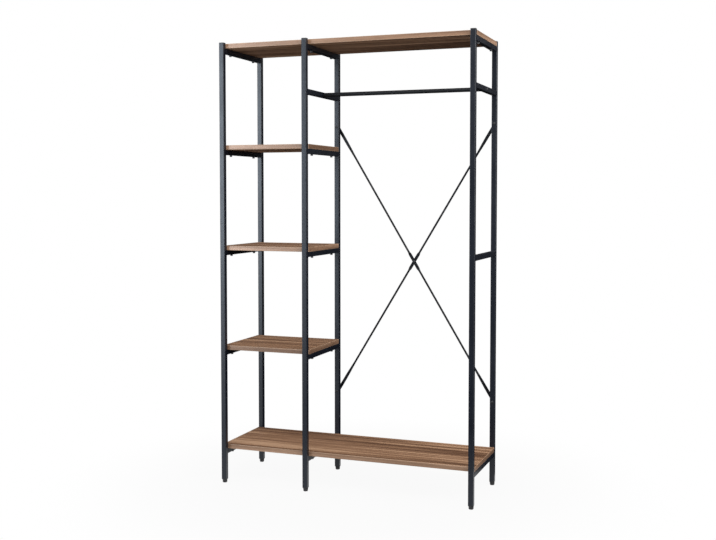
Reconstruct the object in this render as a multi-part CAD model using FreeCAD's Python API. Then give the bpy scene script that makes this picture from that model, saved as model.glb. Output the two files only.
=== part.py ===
import FreeCAD, Part
import math
import os

# Open frame wardrobe. Three ladder frames of welded square steel tube, each made as a lower and
# an upper half, carry five wood boards, a hanging rail and a crossed rear brace, and stand on
# six screw-in levelling feet.
# Millimetres. X runs from left to right, Y from front to back and Z up. The origin is on the
# floor, under the middle of the overall width and depth.

# Square steel tube of all posts and cross rails
tube_width = 20.0
tube_wall = 1.2
tube_corner_radius = 2.0

# Plan of the three frames
frame_depth = 360.0
left_bay_width = 334.0
right_bay_width = 644.0

# Wood boards, all of one thickness and evenly spaced
board_thickness = 18.0
board_edge_chamfer = 1.0
board_spacing = 400.0
bottom_board_top = 154.0
board_post_clearance = 0.5

# Heights that follow the boards
post_joint_rise = 89.0
post_top_rise = 0.5
hanging_rail_drop = 199.0

# Sleeves inside the posts, where the lower and upper halves meet
sleeve_length = 100.0
sleeve_wall = 1.5
sleeve_clearance = 0.3

# Plastic caps in the upper tube ends
cap_thickness = 2.5
cap_stem_length = 12.0
plug_clearance = 0.15

# Levelling feet: a plastic plug in the tube, a steel stud and a moulded pad
foot_plug_flange = 2.5
foot_plug_stem_length = 22.0
foot_stud_diameter = 6.0
foot_stud_length = 36.0
foot_running_clearance = 0.05
foot_pad_diameter = 20.0
foot_pad_base_diameter = 18.0
foot_pad_height = 13.2
foot_pad_edge_chamfer = 2.0
foot_pad_floor_thickness = 3.0
foot_seat_gap = 0.3

# Bolts, screws, cap nuts and their holes. Board screws have tall heads, all others button heads.
# Fasteners, foot pads and the holes in them are prisms, which keeps the model light.
shank_sides = 6
head_sides = 8
nut_sides = 6
foot_bore_sides = 12
foot_pad_sides = 24
bolt_diameter = 6.0
bolt_clearance = 0.3
screw_head_diameter = 10.0
screw_head_height = 6.0
button_head_diameter = 10.5
button_head_height = 3.3
bolt_end_gap = 1.0
nut_across_flats = 10.0
nut_hex_height = 4.2
nut_dome_height = 3.8
nut_dome_top_share = 0.5
nut_bore_depth = 5.6

# Screws that hold the boards, two to a rail
board_screw_spacing = 204.0
board_screw_bite = 12.0

# Round hanging rail and the threaded plugs in its ends
hanging_rail_diameter = 16.0
hanging_rail_wall = 1.2
end_nut_length = 14.0
end_nut_clearance = 0.1

# Rear brace: two round rods, pressed flat at both ends and where they cross. The turns, in
# degrees, place the sections that round off an end.
brace_diameter = 8.0
brace_flat_width = 12.6
brace_flat_thickness = 2.4
brace_end_flat = 56.0
brace_end_taper = 100.0
brace_end_turns = (70, 40, 0)
brace_centre_flat = 60.0
brace_centre_taper = 16.0
brace_flat_edge_share = 0.4
brace_flat_inner_share = 0.3
brace_lower_height = 335.0
brace_upper_drop = 317.0

cut_overrun = 1.0
parallel_tolerance = 1e-6

# Places worked out from the sizes above
board_names = ("bottom_board", "lower_shelf", "middle_shelf", "upper_shelf", "top_board")
board_tops = [bottom_board_top + board_spacing * step for step in range(len(board_names))]
board_top = dict(zip(board_names, board_tops))
rail_low = {name: top - board_thickness - tube_width for name, top in board_top.items()}

tube_bore = tube_width - 2 * tube_wall
bolt_hole_diameter = bolt_diameter + 2 * bolt_clearance
post_low = foot_pad_height + foot_seat_gap + foot_plug_flange
post_joint = board_top["middle_shelf"] + post_joint_rise
post_top = board_top["top_board"] + post_top_rise
hanging_rail_height = board_top["top_board"] - hanging_rail_drop
brace_heights = (brace_lower_height, board_top["top_board"] - brace_upper_drop)

rear_reach = brace_flat_thickness * 3 / 2 + nut_hex_height + nut_dome_height
frame_width = 3 * tube_width + left_bay_width + right_bay_width
left_edge = -(frame_width + button_head_height) / 2
front_face = -(frame_depth + rear_reach) / 2
rear_face = front_face + frame_depth
middle_depth = front_face + frame_depth / 2

frame_left = {
    "left": left_edge,
    "middle": left_edge + tube_width + left_bay_width,
    "right": left_edge + frame_width - tube_width,
}
frame_centre = {side: low + tube_width / 2 for side, low in frame_left.items()}
post_front = {"front": front_face, "rear": rear_face - tube_width}
post_places = [(side, row) for side in frame_left for row in post_front]

boards_of_frame = {
    "left": board_names,
    "middle": board_names,
    "right": ("bottom_board", "top_board"),
}
rail_name = {
    "bottom_board": "bottom_rail",
    "lower_shelf": "lower_rail",
    "middle_shelf": "middle_rail",
    "upper_shelf": "upper_rail",
    "top_board": "top_rail",
}
screw_depths = (middle_depth - board_screw_spacing / 2, middle_depth + board_screw_spacing / 2)

along_x = FreeCAD.Vector(1, 0, 0)
along_y = FreeCAD.Vector(0, 1, 0)
along_z = FreeCAD.Vector(0, 0, 1)

parts = {}


def edges_along(box, axis):
    return [
        edge
        for edge in box.Edges
        if edge.tangentAt(edge.FirstParameter).cross(axis).Length < parallel_tolerance
    ]


def block(low, high):
    """A box between two opposite corners."""
    size = high - low
    return Part.makeBox(size.x, size.y, size.z, low)


def square_tube(low, length, axis):
    """A square tube along Y or Z with rounded outer corners."""
    high = low + FreeCAD.Vector(tube_width, tube_width, tube_width) + axis * (length - tube_width)
    outer = block(low, high)
    outer = outer.makeFillet(tube_corner_radius, edges_along(outer, axis))
    wall = FreeCAD.Vector(tube_wall, tube_wall, tube_wall)
    past_end = axis * (tube_wall + cut_overrun)
    return outer.cut(block(low + wall - past_end, high - wall + past_end))


def end_plate(low, thickness):
    """A plate over a tube's end, with its corners cut off inside the tube's rounded ones."""
    plate = block(low, low + FreeCAD.Vector(tube_width, tube_width, thickness))
    return plate.makeChamfer(tube_corner_radius, edges_along(plate, along_z))


def tube_insert(corner, low, high, width):
    """A square block, centred in the post tube that has the corner, between two heights."""
    margin = (tube_width - width) / 2
    base = FreeCAD.Vector(corner.x + margin, corner.y + margin, low)
    return Part.makeBox(width, width, high - low, base)


def ring(centre, axis, diameter, sides):
    """The corners of a regular polygon square to the axis, on the diameter."""
    across = along_z if abs(axis.dot(along_x)) > parallel_tolerance else along_x
    beside = axis.cross(across)
    turns = [2 * math.pi * (step + 0.5) / sides for step in range(sides)]
    return [centre + (across * math.cos(turn) + beside * math.sin(turn)) * (diameter / 2) for turn in turns]


def outline(corners):
    return Part.makePolygon(corners + corners[:1])


def prism(base, axis, length, diameter, sides):
    return Part.Face(outline(ring(base, axis, diameter, sides))).extrude(axis * length)


def faceted(rings):
    """A solid with flat faces between rings of corners, closed by a face at both ends."""
    faces = [Part.Face(outline(rings[0])), Part.Face(outline(rings[-1]))]
    for low, high in zip(rings, rings[1:]):
        for step in range(len(low)):
            faces.append(Part.Face(outline([low[step - 1], low[step], high[step], high[step - 1]])))
    return Part.makeSolid(Part.makeShell(faces))


def bolt_hole(base, axis, length):
    """A cutter for a bolt's hole, which starts before the base and ends past the length."""
    start = base - axis * cut_overrun
    return prism(start, axis, length + 2 * cut_overrun, bolt_hole_diameter, shank_sides)


def bolt(seat, axis, length, head_diameter=button_head_diameter, head_height=button_head_height):
    """A bolt whose head lies against the seat and whose shank follows the axis."""
    head = prism(seat - axis * head_height, axis, head_height, head_diameter, head_sides)
    return head.fuse(prism(seat, axis, length, bolt_diameter, shank_sides))


def cap_nut(seat):
    """A domed hexagon nut that lies against the seat and closes the bolt's end, behind it."""
    width = nut_across_flats / math.cos(math.pi / nut_sides)
    dome_low = seat + along_y * nut_hex_height
    rings = [
        ring(seat, along_y, width, nut_sides),
        ring(dome_low, along_y, width, nut_sides),
        ring(dome_low + along_y * nut_dome_height, along_y, width * nut_dome_top_share, nut_sides),
    ]
    hole = prism(seat, along_y, nut_bore_depth, bolt_hole_diameter, shank_sides)
    return faceted(rings).cut(hole)


# Posts: a lower and an upper tube at each corner of the three frames. The rear posts of the
# middle and right frames have holes through both walls for the brace bolts.
def post(side, row, low, high):
    tube = square_tube(FreeCAD.Vector(frame_left[side], post_front[row], low), high - low, along_z)
    if row == "rear" and side != "left":
        for height in brace_heights:
            hole_start = FreeCAD.Vector(frame_centre[side], post_front[row], height)
            tube = tube.cut(bolt_hole(hole_start, along_y, tube_width))
    return tube


for side, row in post_places:
    parts[f"{side}_{row}_lower_post"] = post(side, row, post_low, post_joint)
    parts[f"{side}_{row}_upper_post"] = post(side, row, post_joint, post_top)


# Cross rails, welded between the front and rear posts of a frame. Those under a board have two
# holes up through both walls for its screws.
rail_length = frame_depth - 2 * tube_width


def cross_rail(side, low):
    corner = FreeCAD.Vector(frame_left[side], front_face + tube_width, low)
    return square_tube(corner, rail_length, along_y)


for side, names in boards_of_frame.items():
    for name in names:
        rail = cross_rail(side, rail_low[name])
        for depth in screw_depths:
            hole_start = FreeCAD.Vector(frame_centre[side], depth, rail_low[name])
            rail = rail.cut(bolt_hole(hole_start, along_z, tube_width))
        parts[f"{side}_{rail_name[name]}"] = rail

parts["right_middle_rail"] = cross_rail("right", rail_low["middle_shelf"])

for side in ("middle", "right"):
    rail = cross_rail(side, hanging_rail_height - tube_width / 2)
    hole_start = FreeCAD.Vector(frame_left[side], middle_depth, hanging_rail_height)
    parts[f"{side}_hanging_support"] = rail.cut(bolt_hole(hole_start, along_x, tube_width))


# Boards: they lie on the rails between the front and rear posts, and end flush with the outer
# faces of the frames that carry them. Screws come up through the rails into blind holes.
screws = []
screw_length = tube_width + board_screw_bite

for name in board_names:
    carriers = [side for side in frame_left if name in boards_of_frame[side]]
    underside = board_top[name] - board_thickness
    low = FreeCAD.Vector(left_edge, front_face + tube_width + board_post_clearance, underside)
    high = FreeCAD.Vector(
        frame_left[carriers[-1]] + tube_width,
        rear_face - tube_width - board_post_clearance,
        board_top[name],
    )
    board = block(low, high)
    board = board.makeChamfer(board_edge_chamfer, edges_along(board, along_x))
    for side in carriers:
        for depth in screw_depths:
            seat = FreeCAD.Vector(frame_centre[side], depth, rail_low[name])
            board = board.cut(bolt_hole(seat, along_z, screw_length))
            screws.append(bolt(seat, along_z, screw_length, screw_head_diameter, screw_head_height))
    parts[name] = board

parts["board_screws"] = Part.makeCompound(screws)


# Joint sleeves: a shorter square tube inside each post, half in the lower and half in the upper
# tube, which keeps the two in line.
def joint_sleeve(side, row):
    corner = FreeCAD.Vector(frame_left[side], post_front[row], post_joint)
    width = tube_bore - 2 * sleeve_clearance
    low = post_joint - sleeve_length / 2
    high = post_joint + sleeve_length / 2
    outer = tube_insert(corner, low, high, width)
    return outer.cut(tube_insert(corner, low - cut_overrun, high + cut_overrun, width - 2 * sleeve_wall))


parts["post_joint_sleeves"] = Part.makeCompound([joint_sleeve(*place) for place in post_places])


# Post caps: a plate over each upper tube end, with a stem pushed into the tube.
stem_width = tube_bore - 2 * plug_clearance


def post_cap(side, row):
    corner = FreeCAD.Vector(frame_left[side], post_front[row], post_top)
    stem = tube_insert(corner, post_top - cap_stem_length, post_top, stem_width)
    return end_plate(corner, cap_thickness).fuse(stem)


parts["post_caps"] = Part.makeCompound([post_cap(*place) for place in post_places])


# Levelling feet: a flanged plug closes each lower tube end and takes the stud, which carries the
# pad. Turning the pad drives the stud in or out.
# The bores in plug and pad have their flats clear of the round stud, so that the pad can turn.
bore_across_flats = foot_stud_diameter + 2 * foot_running_clearance
bore_diameter = bore_across_flats / math.cos(math.pi / foot_bore_sides)


def foot_plug(side, row):
    corner = FreeCAD.Vector(frame_left[side], post_front[row], post_low - foot_plug_flange)
    stem = tube_insert(corner, post_low, post_low + foot_plug_stem_length, stem_width)
    plug = end_plate(corner, foot_plug_flange).fuse(stem)
    centre = corner + FreeCAD.Vector(tube_width / 2, tube_width / 2, -cut_overrun)
    hole_length = foot_plug_flange + foot_plug_stem_length + 2 * cut_overrun
    return plug.cut(prism(centre, along_z, hole_length, bore_diameter, foot_bore_sides))


parts["foot_plugs"] = Part.makeCompound([foot_plug(*place) for place in post_places])

pad_base = FreeCAD.Vector()
pad_rings = [
    ring(pad_base, along_z, foot_pad_base_diameter - 2 * foot_pad_edge_chamfer, foot_pad_sides),
    ring(pad_base + along_z * foot_pad_edge_chamfer, along_z, foot_pad_base_diameter, foot_pad_sides),
    ring(pad_base + along_z * foot_pad_height, along_z, foot_pad_diameter, foot_pad_sides),
]
stud_low = pad_base + along_z * foot_pad_floor_thickness
socket_low = stud_low - along_z * foot_seat_gap
socket = prism(socket_low, along_z, foot_pad_height, bore_diameter, foot_bore_sides)
pad = faceted(pad_rings).cut(socket)
stud = Part.makeCylinder(foot_stud_diameter / 2, foot_stud_length, stud_low, along_z)

for side, row in post_places:
    centre = FreeCAD.Vector(frame_centre[side], post_front[row] + tube_width / 2, 0)
    parts[f"{side}_{row}_foot_pad"] = pad.translated(centre)
    parts[f"{side}_{row}_foot_stud"] = stud.translated(centre)


# Hanging rail: a round tube between the two supports, with a threaded plug in each end. A bolt
# through each support pulls the rail's end against it.
rail_start = FreeCAD.Vector(frame_left["middle"] + tube_width, middle_depth, hanging_rail_height)
rail_end = rail_start + along_x * right_bay_width
rail_bore = hanging_rail_diameter - 2 * hanging_rail_wall
rail_tube = Part.makeCylinder(hanging_rail_diameter / 2, right_bay_width, rail_start, along_x)
parts["hanging_rail"] = rail_tube.cut(
    Part.makeCylinder(rail_bore / 2, right_bay_width, rail_start, along_x)
)

end_nuts = []
rail_bolts = []
for end, inward in ((rail_start, along_x), (rail_end, along_x * -1)):
    plug = prism(end, inward, end_nut_length, rail_bore - 2 * end_nut_clearance, head_sides)
    end_nuts.append(plug.cut(bolt_hole(end, inward, end_nut_length)))
    seat = end - inward * tube_width
    rail_bolts.append(bolt(seat, inward, tube_width + end_nut_length - bolt_end_gap))
parts["hanging_rail_end_nuts"] = Part.makeCompound(end_nuts)
parts["hanging_rail_bolts"] = Part.makeCompound(rail_bolts)


# Rear brace: each rod is flat where it is bolted to a post, tapers into the round rod, and is
# flat again where it crosses the other. The rods bow apart by half a flat at the crossing.
def brace_section(distance, shift, flat_width=None):
    """A twelve-sided section, square to the rod: pressed flat if it has a width, else round."""
    if flat_width is None:
        radius = brace_diameter / 2
        turns = [math.pi * (step + 0.5) / 6 for step in range(3)]
        quarter = [(radius * math.cos(turn), radius * math.sin(turn)) for turn in turns]
    else:
        side = flat_width / 2
        top = brace_flat_thickness / 2
        edge_top = top * brace_flat_edge_share
        quarter = [(side, edge_top), (side - top + edge_top, top), (side * brace_flat_inner_share, top)]
    mirrored = [(-side, top) for side, top in reversed(quarter)]
    half = quarter + mirrored
    whole = half + [(-side, -top) for side, top in half]
    return outline([FreeCAD.Vector(distance, shift + top, side) for side, top in whole])


def brace_rod(start, end, bow):
    """A rod between two bolt centres on the posts' rear faces, bowed at its middle."""
    span = end - start
    half = span.Length / 2
    tip = brace_flat_width / 2
    end_shift = brace_flat_thickness / 2
    centre_shift = end_shift + bow
    centre_start = half - brace_centre_flat / 2
    turns = [math.radians(turn) for turn in brace_end_turns]
    stations = [(-tip * math.sin(turn), end_shift, 2 * tip * math.cos(turn)) for turn in turns]
    stations += [
        (brace_end_flat, end_shift, brace_flat_width),
        (brace_end_flat + brace_end_taper, end_shift, None),
        (centre_start - brace_centre_taper, centre_shift, None),
        (centre_start, centre_shift, brace_flat_width),
    ]
    stations += [(span.Length - distance, shift, width) for distance, shift, width in reversed(stations)]
    rod = Part.makeLoft([brace_section(*station) for station in stations], True, True)
    for distance, shift in ((0, end_shift), (half, centre_shift), (span.Length, end_shift)):
        hole_start = FreeCAD.Vector(distance, shift - brace_flat_thickness / 2, 0)
        rod = rod.cut(bolt_hole(hole_start, along_y, brace_flat_thickness))
    rod.rotate(FreeCAD.Vector(), along_y, -math.degrees(math.atan2(span.z, span.x)))
    rod.translate(start)
    return rod


low_height, high_height = brace_heights
bow = brace_flat_thickness / 2
brace_corner = {
    (side, height): FreeCAD.Vector(frame_centre[side], rear_face, height)
    for side in ("middle", "right")
    for height in brace_heights
}
for name, left_height, right_height, shift in (
    ("brace_falling", high_height, low_height, -bow),
    ("brace_rising", low_height, high_height, bow),
):
    parts[name] = brace_rod(brace_corner["middle", left_height], brace_corner["right", right_height], shift)

through_nut = nut_bore_depth - bolt_end_gap
end_bolts = []
nuts = []
for corner in brace_corner.values():
    end_bolt_length = tube_width + brace_flat_thickness + through_nut
    end_bolts.append(bolt(corner - along_y * tube_width, along_y, end_bolt_length))
    nuts.append(cap_nut(corner + along_y * brace_flat_thickness))
brace_centre = (brace_corner["middle", low_height] + brace_corner["right", high_height]) / 2
centre_seat = brace_centre - along_y * bow
nuts.append(cap_nut(centre_seat + along_y * 2 * brace_flat_thickness))
parts["brace_end_bolts"] = Part.makeCompound(end_bolts)
parts["brace_centre_bolt"] = bolt(centre_seat, along_y, 2 * brace_flat_thickness + through_nut)
parts["brace_nuts"] = Part.makeCompound(nuts)

os.makedirs("parts", exist_ok=True)
for name, shape in parts.items():
    shape.exportStep(f"parts/{name}.step")
print(len(parts), "nodes,", sum(len(shape.Solids) for shape in parts.values()), "solids")
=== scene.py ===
import math

import bmesh
import bpy
from mathutils import Matrix, Vector


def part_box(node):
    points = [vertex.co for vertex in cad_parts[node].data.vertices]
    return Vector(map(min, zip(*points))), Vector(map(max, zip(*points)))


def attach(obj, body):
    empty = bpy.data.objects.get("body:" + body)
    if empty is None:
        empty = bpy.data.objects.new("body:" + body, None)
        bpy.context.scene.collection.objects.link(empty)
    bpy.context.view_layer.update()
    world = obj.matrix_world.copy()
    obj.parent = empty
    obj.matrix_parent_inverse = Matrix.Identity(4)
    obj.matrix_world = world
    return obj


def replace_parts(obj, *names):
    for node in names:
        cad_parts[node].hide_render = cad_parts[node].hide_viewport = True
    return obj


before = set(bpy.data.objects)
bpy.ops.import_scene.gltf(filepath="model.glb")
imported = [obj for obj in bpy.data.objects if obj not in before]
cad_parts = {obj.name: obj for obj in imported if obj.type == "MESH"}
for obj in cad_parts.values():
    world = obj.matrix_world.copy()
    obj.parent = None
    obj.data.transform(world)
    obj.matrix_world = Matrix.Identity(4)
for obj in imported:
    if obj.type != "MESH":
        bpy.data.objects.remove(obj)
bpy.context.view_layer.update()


# Posts: twelve lengths of 20 mm square steel tube, cold rolled with rounded corners, two to a post.
# They are welded to the cross rails, and the frame is then powder coated a satin charcoal. The cut ends
# are chamfered, so a fine line shows where an upper length stands on a lower one.

class Socket:
    """A shader socket that works in sums: an expression on sockets adds the Math nodes that it needs."""

    def __init__(self, tree, socket=None):
        self.tree = tree
        self.socket = socket

    def node(self, kind, settings, inputs, output=0):
        """Adds a node: its settings are set first, then its sockets get their values or links."""
        made = self.tree.nodes.new(kind)
        for name, value in settings.items():
            if name == "stops":
                while len(made.color_ramp.elements) < len(value):
                    made.color_ramp.elements.new(1.0)
                for element, (position, colour) in zip(made.color_ramp.elements, value):
                    element.position = position
                    element.color = (*colour, 1.0)
            else:
                setattr(made, name, value)
        set_sockets(made, inputs)
        return Socket(self.tree, None if output is None else made.outputs[output])

    def maths(self, operation, first, second):
        return self.node("ShaderNodeMath", {"operation": operation}, {0: first, 1: second})

    def __add__(self, other):
        return self.maths("ADD", self, other)

    __radd__ = __add__

    def __sub__(self, other):
        return self.maths("SUBTRACT", self, other)

    def __rsub__(self, other):
        return self.maths("SUBTRACT", other, self)

    def __mul__(self, other):
        return self.maths("MULTIPLY", self, other)

    __rmul__ = __mul__

    def __abs__(self):
        return self.node("ShaderNodeMath", {"operation": "ABSOLUTE"}, {0: self})

    def clamped(self):
        return self.node("ShaderNodeClamp", {}, {"Value": self})


def set_sockets(node, inputs):
    """Gives a node's sockets their values or links."""
    for name, value in inputs.items():
        if isinstance(value, Socket):
            value.tree.links.new(value.socket, node.inputs[name])
        else:
            node.inputs[name].default_value = value


def new_finish(name):
    """A material, its shader, and the place in the piece that its patterns are laid on."""
    material = bpy.data.materials.new(name)
    material.use_nodes = True
    place = Socket(material.node_tree).node("ShaderNodeTexCoord", {}, {}, "Object")
    return material, material.node_tree.nodes["Principled BSDF"], place


def shade(colour, share):
    """A darker or paler tone of a colour."""
    return [share * part for part in colour]


def mixed_colours(amount, first, second):
    """A Mix node between two colours, which are sockets or plain linear values."""
    colours = [c if isinstance(c, Socket) else (*c, 1.0) for c in (first, second)]
    return amount.node("ShaderNodeMix", {"data_type": "RGBA"}, {0: amount, 6: colours[0], 7: colours[1]}, 2)


def noise(place, scale, detail, stretch=(1.0, 1.0, 1.0)):
    """Noise over a piece, with its place in the piece stretched along each axis."""
    spread = place.node("ShaderNodeMapping", {"vector_type": "POINT"}, {"Vector": place, "Scale": stretch})
    return place.node("ShaderNodeTexNoise", {}, {"Vector": spread, "Scale": scale, "Detail": detail})


def risen(pattern, start, steepness):
    """Zero where a pattern is below a start, and then a rise to one."""
    return (steepness * (pattern - start)).clamped()


def varied(value, *swings):
    """A value that swings up and down: each swing is its full width and the pattern that it follows."""
    for width, pattern in swings:
        value = value + width * (pattern - 0.5)
    return value


def bumped(height, strength, depth):
    """A Bump node for a relief of the given depth."""
    return height.node("ShaderNodeBump", {}, {"Strength": strength, "Distance": depth, "Height": height})


def corner_mask(place):
    """One on corners that are rounded between two of the piece's sides, and zero on the flat sides."""
    facing = place.node("ShaderNodeTexCoord", {}, {}, "Normal")
    x, y, z = [abs(place.node("ShaderNodeSeparateXYZ", {}, {"Vector": facing}, axis)) for axis in range(3)]
    return (2.0 * (x * y + y * z + z * x)).clamped()


def powder_coat(name, colour, worn_colour, roughness, gloss):
    """A satin powder coat: fine orange peel, uneven gloss, and a thinner, paler film on the corners."""
    material, shader, place = new_finish(name)
    peel = noise(place, scale=620.0, detail=2.0)
    cloud = noise(place, scale=9.0, detail=4.0)
    scuffs = noise(place, scale=55.0, detail=5.0)
    worn = corner_mask(place) * risen(scuffs, start=0.38, steepness=1.6)
    thick_film, thin_film = shade(colour, 0.82), shade(colour, 1.18)
    film = mixed_colours(cloud, thick_film, thin_film)
    set_sockets(shader, {
        "Base Color": mixed_colours(worn, film, worn_colour),
        "Roughness": varied(roughness, (0.16, cloud), (0.10, peel)),
        "Specular IOR Level": gloss,
        "Specular Tint": (0.92, 0.96, 1.0, 1.0),
        "Normal": bumped(peel, strength=0.07, depth=0.0002),
    })
    return material


same_point = 0.000001
near_point = 0.00001
upright_share = 0.99


def new_piece(name, shape, materials, body="frame", sharp_angle=32.0):
    """Makes a bmesh an object at the origin, which rides on a body and takes the given finishes."""
    bmesh.ops.remove_doubles(shape, verts=shape.verts, dist=same_point)
    bmesh.ops.recalc_face_normals(shape, faces=shape.faces)
    mesh = bpy.data.meshes.new(name)
    shape.to_mesh(mesh)
    shape.free()
    for material in materials:
        mesh.materials.append(material)
    mesh.shade_smooth()
    mesh.set_sharp_from_angle(angle=math.radians(sharp_angle))
    piece = bpy.data.objects.new(name, mesh)
    bpy.context.scene.collection.objects.link(piece)
    flat_sides = piece.modifiers.new("flat_sides", "WEIGHTED_NORMAL")
    flat_sides.keep_sharp = True
    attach(piece, body)
    return piece


def level_edges(shape, height):
    """The edges that lie at one height."""
    return [e for e in shape.edges if all(abs(v.co.z - height) < near_point for v in e.verts)]


def upright_edges(shape):
    """The edges that run straight up."""
    lines = {e: e.verts[1].co - e.verts[0].co for e in shape.edges}
    return [e for e, line in lines.items() if abs(line.z) > upright_share * line.length]


def bevelled(shape, edges, offset, segments):
    """Rounds edges off, or chamfers them where there are few segments."""
    return bmesh.ops.bevel(shape, geom=edges, offset=offset, offset_type="OFFSET", segments=segments,
                           profile=0.5, affect="EDGES", material=-1, clamp_overlap=True)


def plain_block(shape, low, high):
    """Adds a block between two corners."""
    verts = bmesh.ops.create_cube(shape, size=1.0)["verts"]
    bmesh.ops.scale(shape, vec=high - low, verts=verts)
    bmesh.ops.translate(shape, vec=(low + high) / 2, verts=verts)


tube_corner = 0.002
tube_corner_segments = 5
seam_chamfer = 0.0006
seam_segments = 2
charcoal = (0.0044, 0.0058, 0.0104)
charcoal_worn = (0.010, 0.012, 0.018)
frame_coat = powder_coat("charcoal_powder_coat", charcoal, charcoal_worn, roughness=0.34, gloss=0.40)

sides = ("left", "middle", "right")
posts = [f"{side}_{row}" for side in sides for row in ("front", "rear")]
for post in posts:
    for half in ("lower", "upper"):
        node = f"{post}_{half}_post"
        low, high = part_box(node)
        tube = bmesh.new()
        plain_block(tube, low, high)
        bevelled(tube, upright_edges(tube), tube_corner, tube_corner_segments)
        seam = high.z if half == "lower" else low.z
        bevelled(tube, level_edges(tube, seam), seam_chamfer, seam_segments)
        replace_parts(new_piece(f"{node}_tube", tube, [frame_coat]), node)


# Cross rails and hanging rail supports: the same square tube, cut square, welded between the front and rear
# posts and coated with them. The welds on the flush sides are ground off. The fillets under the tube stay,
# and so do those above it where no board lies.

bead_radius = 0.0013
bead_sides = 10
bead_ripple = 0.80
bead_step = 0.0011


def finish_node(node, material):
    """Gives its finish to a CAD piece that keeps its shape."""
    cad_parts[node].material_slots[0].material = material


def new_ring(grown):
    """The vertices that an extrusion made, and the edges between them."""
    verts = {g for g in grown["geom"] if isinstance(g, bmesh.types.BMVert)}
    edges = [g for g in grown["geom"] if isinstance(g, bmesh.types.BMEdge) and set(g.verts) <= verts]
    return list(verts), edges


def add_weld_bead(shape, start, end):
    """Adds a rippled bead between two points: a ring, extruded step by step, wide and narrow by turns."""
    line = end - start
    steps = round(line.length / bead_step)
    facing = line.to_track_quat("Z", "Y").to_matrix().to_4x4()
    ring = bmesh.ops.create_circle(shape, cap_ends=True, segments=bead_sides,
                                   radius=bead_radius * bead_ripple,
                                   matrix=Matrix.Translation(start) @ facing)["verts"]
    edges = list({e for v in ring for e in v.link_edges})
    for step in range(1, steps + 1):
        ring, edges = new_ring(bmesh.ops.extrude_edge_only(shape, edges=edges))
        bmesh.ops.translate(shape, vec=line / steps, verts=ring)
        swell = 1.0 / bead_ripple if step % 2 else bead_ripple
        middle = start + line * step / steps
        bmesh.ops.scale(shape, vec=(swell, swell, swell), verts=ring, space=Matrix.Translation(-middle))
    bmesh.ops.edgeloop_fill(shape, edges=edges)


rails = [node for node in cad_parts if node.endswith("_rail") and node != "hanging_rail"]
bare_rails = ["right_middle_rail"]
supports = [f"{side}_hanging_support" for side in sides[1:]]
for node in rails + supports:
    finish_node(node, frame_coat)
    low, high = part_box(node)
    heights = (low.z, high.z) if node in bare_rails + supports else (low.z,)
    beads = bmesh.new()
    for depth in (low.y, high.y):
        for height in heights:
            start = Vector((low.x + tube_corner, depth, height))
            end = Vector((high.x - tube_corner, depth, height))
            add_weld_bead(beads, start, end)
    new_piece(f"{node}_welds", beads, [frame_coat], sharp_angle=60.0)


# Post joint sleeves: short lengths of zinc-plated tube inside the posts, half in the lower length and half
# in the upper one. They hold the two in line, and nothing of them shows once the frame stands.

def plated_steel(name, colour, roughness):
    """Zinc-plated steel: bright, with a fine drawn grain and duller clouds."""
    material, shader, place = new_finish(name)
    cloud = noise(place, scale=40.0, detail=4.0)
    drawn = noise(place, scale=900.0, detail=2.0, stretch=(1.0, 1.0, 0.08))
    dull, bright = shade(colour, 0.8), shade(colour, 1.15)
    set_sockets(shader, {
        "Base Color": mixed_colours(cloud, dull, bright),
        "Metallic": 1.0,
        "Roughness": varied(roughness, (0.20, cloud), (0.12, drawn)),
        "Normal": bumped(drawn, strength=0.10, depth=0.0001),
    })
    return material


zinc = plated_steel("zinc_plate", (0.52, 0.53, 0.54), roughness=0.34)
finish_node("post_joint_sleeves", zinc)


# Post caps: black moulded plastic, pressed into the upper tube ends. A plate as wide as the tube closes the
# end, with its top edges rounded, and a stem under it holds it inside the tube.

def moulded_plastic(name, colour, roughness):
    """Moulded plastic with a fine spark-eroded grain, rubbed smoother and paler on its corners."""
    material, shader, place = new_finish(name)
    grain = noise(place, scale=1500.0, detail=2.0)
    cloud = noise(place, scale=70.0, detail=4.0)
    paler_corners = corner_mask(place) * cloud
    paler = shade(colour, 2.2)
    polish = 0.10
    set_sockets(shader, {
        "Base Color": mixed_colours(paler_corners, colour, paler),
        "Roughness": varied(roughness, (0.14, cloud), (0.12, grain)) - polish * paler_corners,
        "Specular IOR Level": 0.40,
        "Normal": bumped(grain, strength=0.22, depth=0.0001),
    })
    return material


def face_height(face):
    return face.calc_center_median().z


def add_part(shape, part, placed=Matrix.Identity(4)):
    """Adds a part to a bmesh at its place, and frees the part."""
    bmesh.ops.transform(part, matrix=placed, verts=part.verts)
    bmesh.ops.recalc_face_normals(part, faces=part.faces)
    carried = bpy.data.meshes.new("part")
    part.to_mesh(carried)
    part.free()
    shape.from_mesh(carried)
    bpy.data.meshes.remove(carried)


black_plastic = moulded_plastic("black_moulded_plastic", (0.011, 0.011, 0.012), roughness=0.50)
cap_top_round = 0.0009
cap_round_segments = 3
cap_stem_inset = 0.0016
cap_stem_length = 0.0120
cap_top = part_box("post_caps")[1].z

caps = bmesh.new()
for post in posts:
    low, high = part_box(f"{post}_upper_post")
    cap = bmesh.new()
    plain_block(cap, Vector((low.x, low.y, high.z)), Vector((high.x, high.y, cap_top)))
    bevelled(cap, upright_edges(cap), tube_corner, tube_corner_segments)
    bevelled(cap, level_edges(cap, cap_top), cap_top_round, cap_round_segments)
    under = min(cap.faces, key=face_height)
    bmesh.ops.inset_individual(cap, faces=[under], thickness=cap_stem_inset)
    bmesh.ops.inset_individual(cap, faces=[under], thickness=0.0, depth=cap_stem_length)
    add_part(caps, cap)
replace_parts(new_piece("post_caps_moulded", caps, [black_plastic]), "post_caps")


# Levelling feet: a plastic plug in each lower tube end carries a threaded steel stud, moulded into a round
# black pad. Turning the pad by hand screws the stud in or out, and so levels the frame.

finish_node("foot_plugs", black_plastic)

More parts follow.
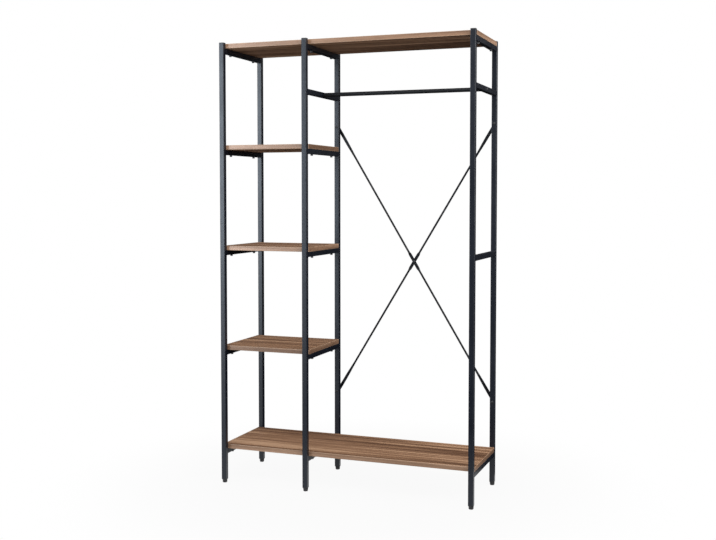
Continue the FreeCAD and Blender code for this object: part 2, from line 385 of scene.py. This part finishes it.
low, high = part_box("left_front_foot_pad")
pad_height = high.z - low.z
pad_top_radius = 0.0090
pad_steps = 40
sole_radius = 0.0070
sole_recess = 0.0004
sole_recess_radius = 0.0052
flank_radius = 0.0091
flank_height = 0.0030
flank_top_radius = 0.0097
groove_radius = 0.0093
groove_low = 0.0102
groove_high = 0.0113
groove_slope = 0.0003
rim_radius = 0.0099
rim_height = 0.0119
round_steps = 4
stud_seat_radius = 0.0034
stud_seat_height = 0.0031
thread_pitch = 0.0010
thread_crest = 0.0029
thread_root = 0.0024
thread_profile = [(thread_root, 0.0), (thread_crest, thread_pitch / 2), (thread_root, thread_pitch)]
thread_steps = 16


def arc(centre, reach, first, last, steps):
    """Points on an ellipse about a centre, from a first turn to a last one, in degrees."""
    turns = [math.radians(first + (last - first) * step / steps) for step in range(steps + 1)]
    return [(centre[0] + reach[0] * math.cos(t), centre[1] + reach[1] * math.sin(t)) for t in turns]


def spun(shape, profile, axis_foot, steps, turns=1, pitch=0.0):
    """Spins a profile of (radius, height) about an upright axis: one closed turn, or a thread's turns."""
    verts = [shape.verts.new(axis_foot + Vector((radius, 0.0, height))) for radius, height in profile]
    edges = [shape.edges.new(pair) for pair in zip(verts, verts[1:])]
    bmesh.ops.spin(shape, geom=verts + edges, cent=axis_foot, axis=(0.0, 0.0, 1.0),
                   dvec=(0.0, 0.0, pitch / steps), angle=2.0 * math.pi * turns, steps=steps * turns,
                   use_merge=pitch == 0.0)


sole_reach = (flank_radius - sole_radius, flank_height)
sole_round = arc((sole_radius, flank_height), sole_reach, -90.0, 0.0, round_steps)
rim_reach = (rim_radius - pad_top_radius, pad_height - rim_height)
rim_round = arc((pad_top_radius, rim_height), rim_reach, 0.0, 90.0, round_steps)

# From the middle of the sole, round its edge, up the flank, over the groove and the rim to the stud's seat
pad_profile = [
    (0.0, sole_recess),
    (sole_recess_radius, sole_recess),
    (sole_recess_radius + sole_recess, 0.0),
    *sole_round,
    (flank_top_radius, groove_low),
    (groove_radius, groove_low + groove_slope),
    (groove_radius, groove_high - groove_slope),
    (rim_radius, groove_high),
    *rim_round,
    (stud_seat_radius, pad_height),
    (stud_seat_radius, stud_seat_height),
    (0.0, stud_seat_height),
]

for post in posts:
    foot = f"{post}_foot"
    low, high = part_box(f"{foot}_pad")
    centre = (low + high) / 2
    pad = bmesh.new()
    spun(pad, pad_profile, Vector((centre.x, centre.y, low.z)), pad_steps)
    pad_piece = new_piece(f"{foot}_pad_moulded", pad, [black_plastic], f"{foot}_pad")
    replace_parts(pad_piece, f"{foot}_pad")

    low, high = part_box(f"{foot}_stud")
    turns = round((high.z - low.z) / thread_pitch) - 1
    stud = bmesh.new()
    spun(stud, thread_profile, Vector((centre.x, centre.y, low.z)), thread_steps, turns, thread_pitch)
    bmesh.ops.remove_doubles(stud, verts=stud.verts, dist=near_point)
    bmesh.ops.holes_fill(stud, edges=[e for e in stud.edges if e.is_boundary])
    stud_piece = new_piece(f"{foot}_stud_threaded", stud, [zinc], f"{foot}_stud",
                           sharp_angle=50.0)
    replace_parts(stud_piece, f"{foot}_stud")


# Boards: 18 mm particle board with a printed dark oak foil on its faces and a matching edge band all round.
# They lie on the cross rails between the posts, and screws come up through the rails into them.

band_share = 0.38
streak_share = 0.44
fibre_share = 0.18
vein_depth = 0.072
vein_sharpness = 13.0
tone_stops = (0.39, 0.45, 0.50, 0.555)
brown_share = 0.62
corner_wear_and_highlight = 0.45
pore_cover = 0.55


def oak_foil(name, grain_axis, tones, worn_and_highlit_tone, roughness, gloss):
    """Dark oak print under satin lacquer: bands, streaks and fibres along the board, and dark pores."""
    material, shader, place = new_finish(name)

    def grained(along, across, detail):
        stretch = [along if axis == grain_axis else across for axis in range(3)]
        return noise(place, 1.0, detail, stretch)

    bands = grained(along=0.45, across=13.0, detail=3.0)
    streaks = grained(along=1.3, across=46.0, detail=6.0)
    fibres = grained(along=26.0, across=900.0, detail=3.0)
    off_vein = abs(grained(along=0.6, across=17.0, detail=4.0) - 0.5)
    veins = (1.0 - vein_sharpness * off_vein).clamped()
    pores = risen(grained(along=60.0, across=1300.0, detail=2.0), start=0.66, steepness=9.0)
    figure = band_share * bands + streak_share * streaks + fibre_share * fibres - vein_depth * veins

    dark, middle, light = tones
    brown = [brown_share * m + (1.0 - brown_share) * d for m, d in zip(middle, dark)]
    stops = list(zip(tone_stops, (dark, brown, middle, light)))
    tone = place.node("ShaderNodeValToRGB", {"stops": stops}, {"Fac": figure})
    # The rounded corners turn to the paler worn tone: partly wear, partly a painted highlight along the
    # board edges.
    paler_corners = mixed_colours(corner_wear_and_highlight * corner_mask(place), tone, worn_and_highlit_tone)
    in_pore = shade(dark, 0.7)
    relief = 0.7 * fibres - 0.6 * pores
    set_sockets(shader, {
        "Base Color": mixed_colours(pore_cover * pores, paler_corners, in_pore),
        "Roughness": varied(roughness, (-0.18, streaks)) + 0.12 * pores,
        "Specular IOR Level": gloss,
        "Normal": bumped(relief, strength=0.12, depth=0.0002),
    })
    return material


# The pale worn tones paint a highlight on the boards' rounded corners, with some wear.
face_tones = ((0.066, 0.028, 0.013), (0.228, 0.124, 0.070), (0.385, 0.235, 0.145))
face_worn_and_highlit = (0.44, 0.27, 0.17)
edge_tones = ((0.12, 0.066, 0.040), (0.235, 0.138, 0.086), (0.34, 0.21, 0.14))
edge_worn_and_highlit = (0.62, 0.46, 0.33)
along_width = 0
along_depth = 1
oak_face = oak_foil("dark_oak_foil", along_width, face_tones, face_worn_and_highlit, roughness=0.56, gloss=0.24)
oak_edge = oak_foil("dark_oak_edge_band", along_width, edge_tones, edge_worn_and_highlit, roughness=0.34, gloss=0.36)
oak_end = oak_foil("dark_oak_end_band", along_depth, edge_tones, edge_worn_and_highlit, roughness=0.34, gloss=0.36)
board_finishes = [oak_face, oak_edge, oak_end]
board_edge_round = 0.0015
board_round_segments = 3

for node in ("bottom_board", "lower_shelf", "middle_shelf", "upper_shelf", "top_board"):
    board = bmesh.new()
    plain_block(board, *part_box(node))
    bevelled(board, board.edges[:], board_edge_round, board_round_segments)
    board.normal_update()
    # Faces across the width show the end band, across the depth the edge band, across the height the foil
    for face in board.faces:
        facing = max(range(3), key=lambda axis: abs(face.normal[axis]))
        face.material_index = 2 - facing
    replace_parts(new_piece(f"{node}_foiled", board, board_finishes), node)


# Board screws: black oxide steel with a cylindrical head and a hexagon socket. Each goes up through a rail
# from below and bites into the board, so only its head shows, under the rail.

def oxide_steel(name, colour, roughness):
    """Black oxide on turned steel: an oily satin black, worn brighter on the corners."""
    material, shader, place = new_finish(name)
    cloud = noise(place, scale=260.0, detail=4.0)
    paler_corners = corner_mask(place) * cloud
    brighter = shade(colour, 2.6)
    set_sockets(shader, {
        "Base Color": mixed_colours(paler_corners, colour, brighter),
        "Metallic": 0.55,
        "Roughness": varied(roughness, (0.24, cloud)),
        "Normal": bumped(cloud, strength=0.08, depth=0.0001),
    })
    return material


black_oxide = oxide_steel("black_oxide", (0.020, 0.021, 0.023), roughness=0.42)
head_sides = 24
rim_segments = 4
hexagon_turn = math.pi / 3.0


def add_socket_screw(shape, seat, axis, head, rim, socket, shank):
    """Adds a screw: its head stands from the seat along the axis, and its shank runs the other way.

    Head, socket and shank are a diameter and a height each; rim is how far the head's edge is rounded.
    """
    screw = bmesh.new()
    head_radius = head[0] / 2
    bmesh.ops.create_cone(screw, cap_ends=True, segments=head_sides, radius1=head_radius,
                          radius2=head_radius, depth=head[1],
                          matrix=Matrix.Translation((0.0, 0.0, head[1] / 2)))
    bevelled(screw, level_edges(screw, head[1]), rim, rim_segments)
    top = max(screw.faces, key=face_height)
    under = min(screw.faces, key=face_height)
    top_radius = max(v.co.to_2d().length for v in top.verts)
    bmesh.ops.inset_individual(screw, faces=[top], thickness=top_radius - socket[0] / 2)
    for vert in top.verts:
        turn = math.atan2(vert.co.y, vert.co.x) % hexagon_turn - hexagon_turn / 2
        reach = socket[0] / 2 / math.cos(turn)
        vert.co.xy = vert.co.to_2d().normalized() * reach
    bmesh.ops.inset_individual(screw, faces=[top], thickness=0.0, depth=-socket[1])
    bmesh.ops.inset_individual(screw, faces=[under], thickness=(head[0] - shank[0]) / 2)
    bmesh.ops.inset_individual(screw, faces=[under], thickness=0.0, depth=shank[1])
    turned = Vector((0.0, 0.0, 1.0)).rotation_difference(Vector(axis)).to_matrix().to_4x4()
    add_part(shape, screw, Matrix.Translation(seat) @ turned)


def replace_fasteners(node, made, shape):
    """Puts black fasteners in the place of a CAD node, named for how their ends are made."""
    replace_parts(new_piece(f"{node}_{made}", shape, [black_oxide]), node)


screw_head = (0.0100, 0.0060)
screw_rim = 0.0008
screw_socket = (0.0050, 0.0030)
shank_diameter = 0.0058
screw_shank = (shank_diameter, 0.0310)
screw_spacing = 0.204
upside_down = (0.0, 0.0, -1.0)
screws = bmesh.new()
for rail in rails:
    if rail not in bare_rails:
        low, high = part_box(rail)
        middle = (low + high) / 2
        for depth in (middle.y - screw_spacing / 2, middle.y + screw_spacing / 2):
            seat = Vector((middle.x, depth, low.z))
            add_socket_screw(screws, seat, upside_down, screw_head, screw_rim, screw_socket, screw_shank)
replace_fasteners("board_screws", "socketed", screws)


# Hanging rail: a round steel tube with a threaded plug in each end, coated like the frame but blacker. A
# button-head bolt goes through each support into a plug, and pulls the tube tight between the two frames.

rail_black = (0.0042, 0.0046, 0.0060)
rail_black_worn = (0.010, 0.011, 0.013)
rail_coat = powder_coat("black_powder_coat", rail_black, rail_black_worn, roughness=0.42, gloss=0.16)
finish_node("hanging_rail", rail_coat)
finish_node("hanging_rail_end_nuts", zinc)

button_head = (0.0105, 0.0033)
button_rim = 0.0024
button_socket = (0.0040, 0.0020)
rail_bolt_shank = (shank_diameter, 0.0300)
low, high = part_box("hanging_rail")
rail_line = (low + high) / 2
rail_bolts = bmesh.new()
for node, outward in zip(supports, (-1.0, 1.0)):
    low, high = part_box(node)
    seat = Vector((low.x if outward < 0.0 else high.x, rail_line.y, rail_line.z))
    add_socket_screw(rail_bolts, seat, (outward, 0.0, 0.0), button_head, button_rim, button_socket,
                     rail_bolt_shank)
replace_fasteners("hanging_rail_bolts", "socketed", rail_bolts)


# Rear brace: two steel rods, pressed flat where they are bolted to the rear posts and where they cross,
# and coated black. A button-head bolt and a cap nut hold each end, and one more of each holds the crossing.

rod_radius = 0.0040
rod_sides = 24
flat_half_width = 0.0063
flat_half_thickness = 0.0012
flat_squareness = 0.72
end_flat = 0.056
end_taper = 0.100
centre_flat = 0.060
centre_taper = 0.016
tip_turns = (75.0, 55.0, 35.0, 15.0, 0.0)
taper_shares = (0.2, 0.4, 0.6, 0.8, 1.0)
brace_low = 0.335
brace_high = 1.437


def rod_stations(length, bow):
    """Places along a rod: distance from its first bolt, flatness, half width and depth, from tip to tip."""
    centre_start = length / 2 - centre_flat / 2
    end_depth = flat_half_thickness
    centre_depth = flat_half_thickness + bow
    turns = [math.radians(turn) for turn in tip_turns]
    half = [(-flat_half_width * math.sin(t), 1.0, flat_half_width * math.cos(t), end_depth) for t in turns]
    half.append((end_flat, 1.0, flat_half_width, end_depth))
    eased = [(share, 0.5 + 0.5 * math.cos(math.pi * share)) for share in taper_shares]
    for share, flatness in eased:
        half.append((end_flat + end_taper * share, flatness, flat_half_width, end_depth))
    for share, flatness in reversed(eased):
        half.append((centre_start - centre_taper * share, flatness, flat_half_width, centre_depth))
    half.append((centre_start, 1.0, flat_half_width, centre_depth))
    return half + [(length - distance, *section) for distance, *section in reversed(half)]


def pressed(turn, flatness, half_width):
    """Width and thickness of a point on the rod's section, from round at a flatness of 0 to flat at 1."""
    power = 1.0 - flat_squareness * flatness
    wide = rod_radius + (half_width - rod_radius) * flatness
    thick = rod_radius + (flat_half_thickness - rod_radius) * flatness
    across, through = math.cos(turn), math.sin(turn)
    return (math.copysign(abs(across) ** power, across) * wide,
            math.copysign(abs(through) ** power, through) * thick)


def add_brace_rod(shape, start, end, bow):
    """Adds a rod: a round bar, extruded from station to station, pressed to shape and laid in place."""
    span = end - start
    stations = rod_stations(span.length, bow)
    rod = bmesh.new()
    facing = Matrix.Translation((stations[0][0], 0.0, 0.0)) @ Matrix.Rotation(math.pi / 2, 4, "Y")
    ring = bmesh.ops.create_circle(rod, cap_ends=True, segments=rod_sides, radius=rod_radius,
                                   matrix=facing)["verts"]
    edges = list({e for v in ring for e in v.link_edges})
    rings = [ring]
    for before, after in zip(stations, stations[1:]):
        ring, edges = new_ring(bmesh.ops.extrude_edge_only(rod, edges=edges))
        bmesh.ops.translate(rod, vec=(after[0] - before[0], 0.0, 0.0), verts=ring)
        rings.append(ring)
    bmesh.ops.edgeloop_fill(rod, edges=edges)
    for ring, (distance, flatness, half_width, depth) in zip(rings, stations):
        for vert in ring:
            wide, thick = pressed(math.atan2(vert.co.y, vert.co.z), flatness, half_width)
            vert.co = (distance, depth + thick, wide)
    laid = Matrix.Rotation(-math.atan2(span.z, span.x), 4, "Y")
    add_part(shape, rod, Matrix.Translation(start) @ laid)


def brace_corner(side, height):
    """The point on the rear face of a rear post where a rod is bolted on."""
    low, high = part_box(f"{side}_rear_lower_post")
    return Vector(((low.x + high.x) / 2, high.y, height))


corners = {(side, height): brace_corner(side, height)
           for side in ("middle", "right") for height in (brace_low, brace_high)}
for node, first, last, bow in (
    ("brace_falling", ("middle", brace_high), ("right", brace_low), -flat_half_thickness),
    ("brace_rising", ("middle", brace_low), ("right", brace_high), flat_half_thickness),
):
    rod_shape = bmesh.new()
    add_brace_rod(rod_shape, corners[first], corners[last], bow)
    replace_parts(new_piece(f"{node}_rod", rod_shape, [rail_coat], sharp_angle=50.0), node)

tube_width = 0.020
flat_thickness = 2.0 * flat_half_thickness
reach_into_nut = 0.0046
end_bolt_shank = (shank_diameter, tube_width + flat_thickness + reach_into_nut)
centre_bolt_shank = (shank_diameter, 2.0 * flat_thickness + reach_into_nut)
towards_front = (0.0, -1.0, 0.0)
rearwards = Vector((0.0, 1.0, 0.0))
crossing = (corners["middle", brace_low] + corners["right", brace_high]) / 2
centre_seat = crossing - flat_half_thickness * rearwards

end_bolts = bmesh.new()
for corner in corners.values():
    add_socket_screw(end_bolts, corner - tube_width * rearwards, towards_front, button_head, button_rim,
                     button_socket, end_bolt_shank)
replace_fasteners("brace_end_bolts", "socketed", end_bolts)

centre_bolt = bmesh.new()
add_socket_screw(centre_bolt, centre_seat, towards_front, button_head, button_rim, button_socket,
                 centre_bolt_shank)
replace_fasteners("brace_centre_bolt", "socketed", centre_bolt)

nut_across_flats = 0.0100
nut_sides = 6
nut_hex_height = 0.0042
nut_dome_radius = 0.0046
nut_dome_height = 0.0038
nut_chamfer = 0.0004
nut_chamfer_segments = 2
nut_dome_steps = 6


def add_cap_nut(shape, seat):
    """Adds a domed nut that stands from its seat towards the rear."""
    nut = bmesh.new()
    nut_radius = nut_across_flats / 2 / math.cos(math.pi / nut_sides)
    bmesh.ops.create_cone(nut, cap_ends=True, segments=nut_sides, radius1=nut_radius,
                          radius2=nut_radius, depth=nut_hex_height,
                          matrix=Matrix.Translation((0.0, 0.0, nut_hex_height / 2)))
    bevelled(nut, level_edges(nut, nut_hex_height), nut_chamfer, nut_chamfer_segments)
    sunk = nut_hex_height - nut_chamfer
    dome_round = arc((0.0, nut_hex_height), (nut_dome_radius, nut_dome_height), 0.0, 90.0, nut_dome_steps)
    spun(nut, [(0.0, sunk), (nut_dome_radius, sunk), *dome_round], Vector(), head_sides)
    bmesh.ops.remove_doubles(nut, verts=nut.verts, dist=near_point)
    add_part(shape, nut, Matrix.Translation(seat) @ Matrix.Rotation(-math.pi / 2, 4, "X"))


nuts = bmesh.new()
for corner in corners.values():
    add_cap_nut(nuts, corner + flat_thickness * rearwards)
add_cap_nut(nuts, centre_seat + 2.0 * flat_thickness * rearwards)
replace_fasteners("brace_nuts", "domed", nuts)


# Studio: a pale floor with a soft shadow, in a white surround. A cool lamp, with a weak one under it,
# stands at the left front. Warm ones hang overhead and stand at the right, before and behind the object.
# Three dark cards show only in its gloss. The camera stands where the photograph was taken.

scene = bpy.context.scene
scene.view_settings.view_transform = "Standard"


def seen_directly(start):
    """One for what the camera, a reflection or a clear surface sees, and zero for what only gives light."""
    kinds = ("Camera", "Glossy", "Transmission")
    seen, reflected, through = [
        start.node("ShaderNodeLightPath", {}, {}, f"Is {kind} Ray") for kind in kinds]
    return (seen + reflected + through).clamped()


def stage_sheet(name, size, placed, material):
    """A square sheet of the studio, which isn't part of the object."""
    sheet_shape = bmesh.new()
    bmesh.ops.create_grid(sheet_shape, x_segments=1, y_segments=1, size=size, matrix=placed)
    mesh = bpy.data.meshes.new(name)
    sheet_shape.to_mesh(mesh)
    sheet_shape.free()
    mesh.materials.append(material)
    sheet = bpy.data.objects.new(name, mesh)
    scene.collection.objects.link(sheet)
    return sheet


white = (1.0, 1.0, 1.0, 1.0)
ambient = 0.25
world = bpy.data.worlds.new("white_surround")
world.use_nodes = True
scene.world = world
strength = ambient + (1.0 - ambient) * seen_directly(Socket(world.node_tree))
set_sockets(world.node_tree.nodes["Background"], {"Color": white, "Strength": strength})

floor_reach = 30.0
floor_grey = (0.32, 0.32, 0.32, 1.0)
floor_white_share = 0.94
floor_fade_start = 0.50
floor_fade_end = 1.3
floor_paint = bpy.data.materials.new("pale_floor")
floor_paint.use_nodes = True
floor_paint.node_tree.nodes.clear()
place = Socket(floor_paint.node_tree).node("ShaderNodeTexCoord", {}, {}, "Object")
reach = place.node("ShaderNodeVectorMath", {"operation": "LENGTH"}, {0: place}, "Value")
far = place.node("ShaderNodeMapRange", {"interpolation_type": "SMOOTHSTEP"},
                 {"Value": reach, "From Min": floor_fade_start, "From Max": floor_fade_end})
white_share = (floor_white_share + (1.0 - floor_white_share) * far) * seen_directly(place)
matt = place.node("ShaderNodeBsdfDiffuse", {}, {"Color": floor_grey})
glow = place.node("ShaderNodeEmission", {}, {"Color": white, "Strength": 1.0})
shown = place.node("ShaderNodeMixShader", {}, {0: white_share, 1: matt, 2: glow})
place.node("ShaderNodeOutputMaterial", {}, {"Surface": shown}, None)
stage_sheet("floor", floor_reach, Matrix.Identity(4), floor_paint)

card_size = 3.0
card_lift = 0.002
card_black, shader = new_finish("black_card")[:2]
set_sockets(shader, {"Base Color": (0.01, 0.01, 0.01, 1.0), "Roughness": 1.0, "Specular IOR Level": 0.0})
for name, foot, tilt, width_share in (
    ("rear_card", 0.30, 50.0, 1.0),
    ("front_card", -4.80, 90.0, 1.0),
    ("floor_card", -6.80, 0.0, 0.3),
):
    narrowed = Matrix.Translation((0.0, card_size, 0.0)) @ Matrix.Diagonal((width_share, 1.0, 1.0, 1.0))
    stood = Matrix.Translation((0.0, foot, card_lift)) @ Matrix.Rotation(math.radians(tilt), 4, "X")
    card = stage_sheet(name, card_size, stood @ narrowed, card_black)
    card.visible_camera = False
    card.visible_diffuse = False
    card.visible_shadow = False

cool_white = (0.84, 0.92, 1.0)
warm_white = (1.0, 0.98, 0.95)


def soft_lamp(name, place, aim, size, power, colour):
    """A rectangular lamp at its place, turned to its aim, with a size in metres and a power in watts."""
    lamp = bpy.data.lights.new(name, "AREA")
    lamp.color = colour
    lamp.shape = "RECTANGLE"
    lamp.size, lamp.size_y = size
    lamp.energy = power
    stand = bpy.data.objects.new(name, lamp)
    stand.location = place
    stand.rotation_euler = (Vector(aim) - Vector(place)).to_track_quat("-Z", "Y").to_euler()
    scene.collection.objects.link(stand)


soft_lamp("key_lamp", (-2.25, -2.90, 1.55), (-0.20, 0.0, 0.95), (1.2, 1.9), 78.0, cool_white)
soft_lamp("low_lamp", (-2.25, -2.90, 0.32), (-0.20, 0.0, 0.60), (1.2, 0.6), 7.0, cool_white)
soft_lamp("overhead_lamp", (0.4, -2.6, 3.6), (0.0, 0.0, 0.9), (2.6, 1.4), 100.0, warm_white)
soft_lamp("fill_lamp", (2.5, -1.2, 2.2), (0.0, 0.0, 1.0), (2.6, 2.6), 90.0, warm_white)
soft_lamp("rear_lamp", (3.0, 1.7, 2.0), (0.0, 0.0, 0.9), (2.0, 1.6), 40.0, warm_white)

photo_width = 716
camera_place = (1.427903, -3.820706, 1.162734)
camera_yaw = 20.5416
camera_pitch = 2.8166
focal_pixels = 1027.55
centre_drop_pixels = 26.0
camera = bpy.data.cameras.new("camera")
camera.sensor_fit = "HORIZONTAL"
camera.sensor_width = 36.0
camera.lens = camera.sensor_width * focal_pixels / photo_width
camera.shift_y = -centre_drop_pixels / photo_width
stand = bpy.data.objects.new("camera", camera)
stand.location = camera_place
stand.rotation_euler = (math.radians(90.0 - camera_pitch), 0.0, math.radians(camera_yaw))
scene.collection.objects.link(stand)
scene.camera = stand
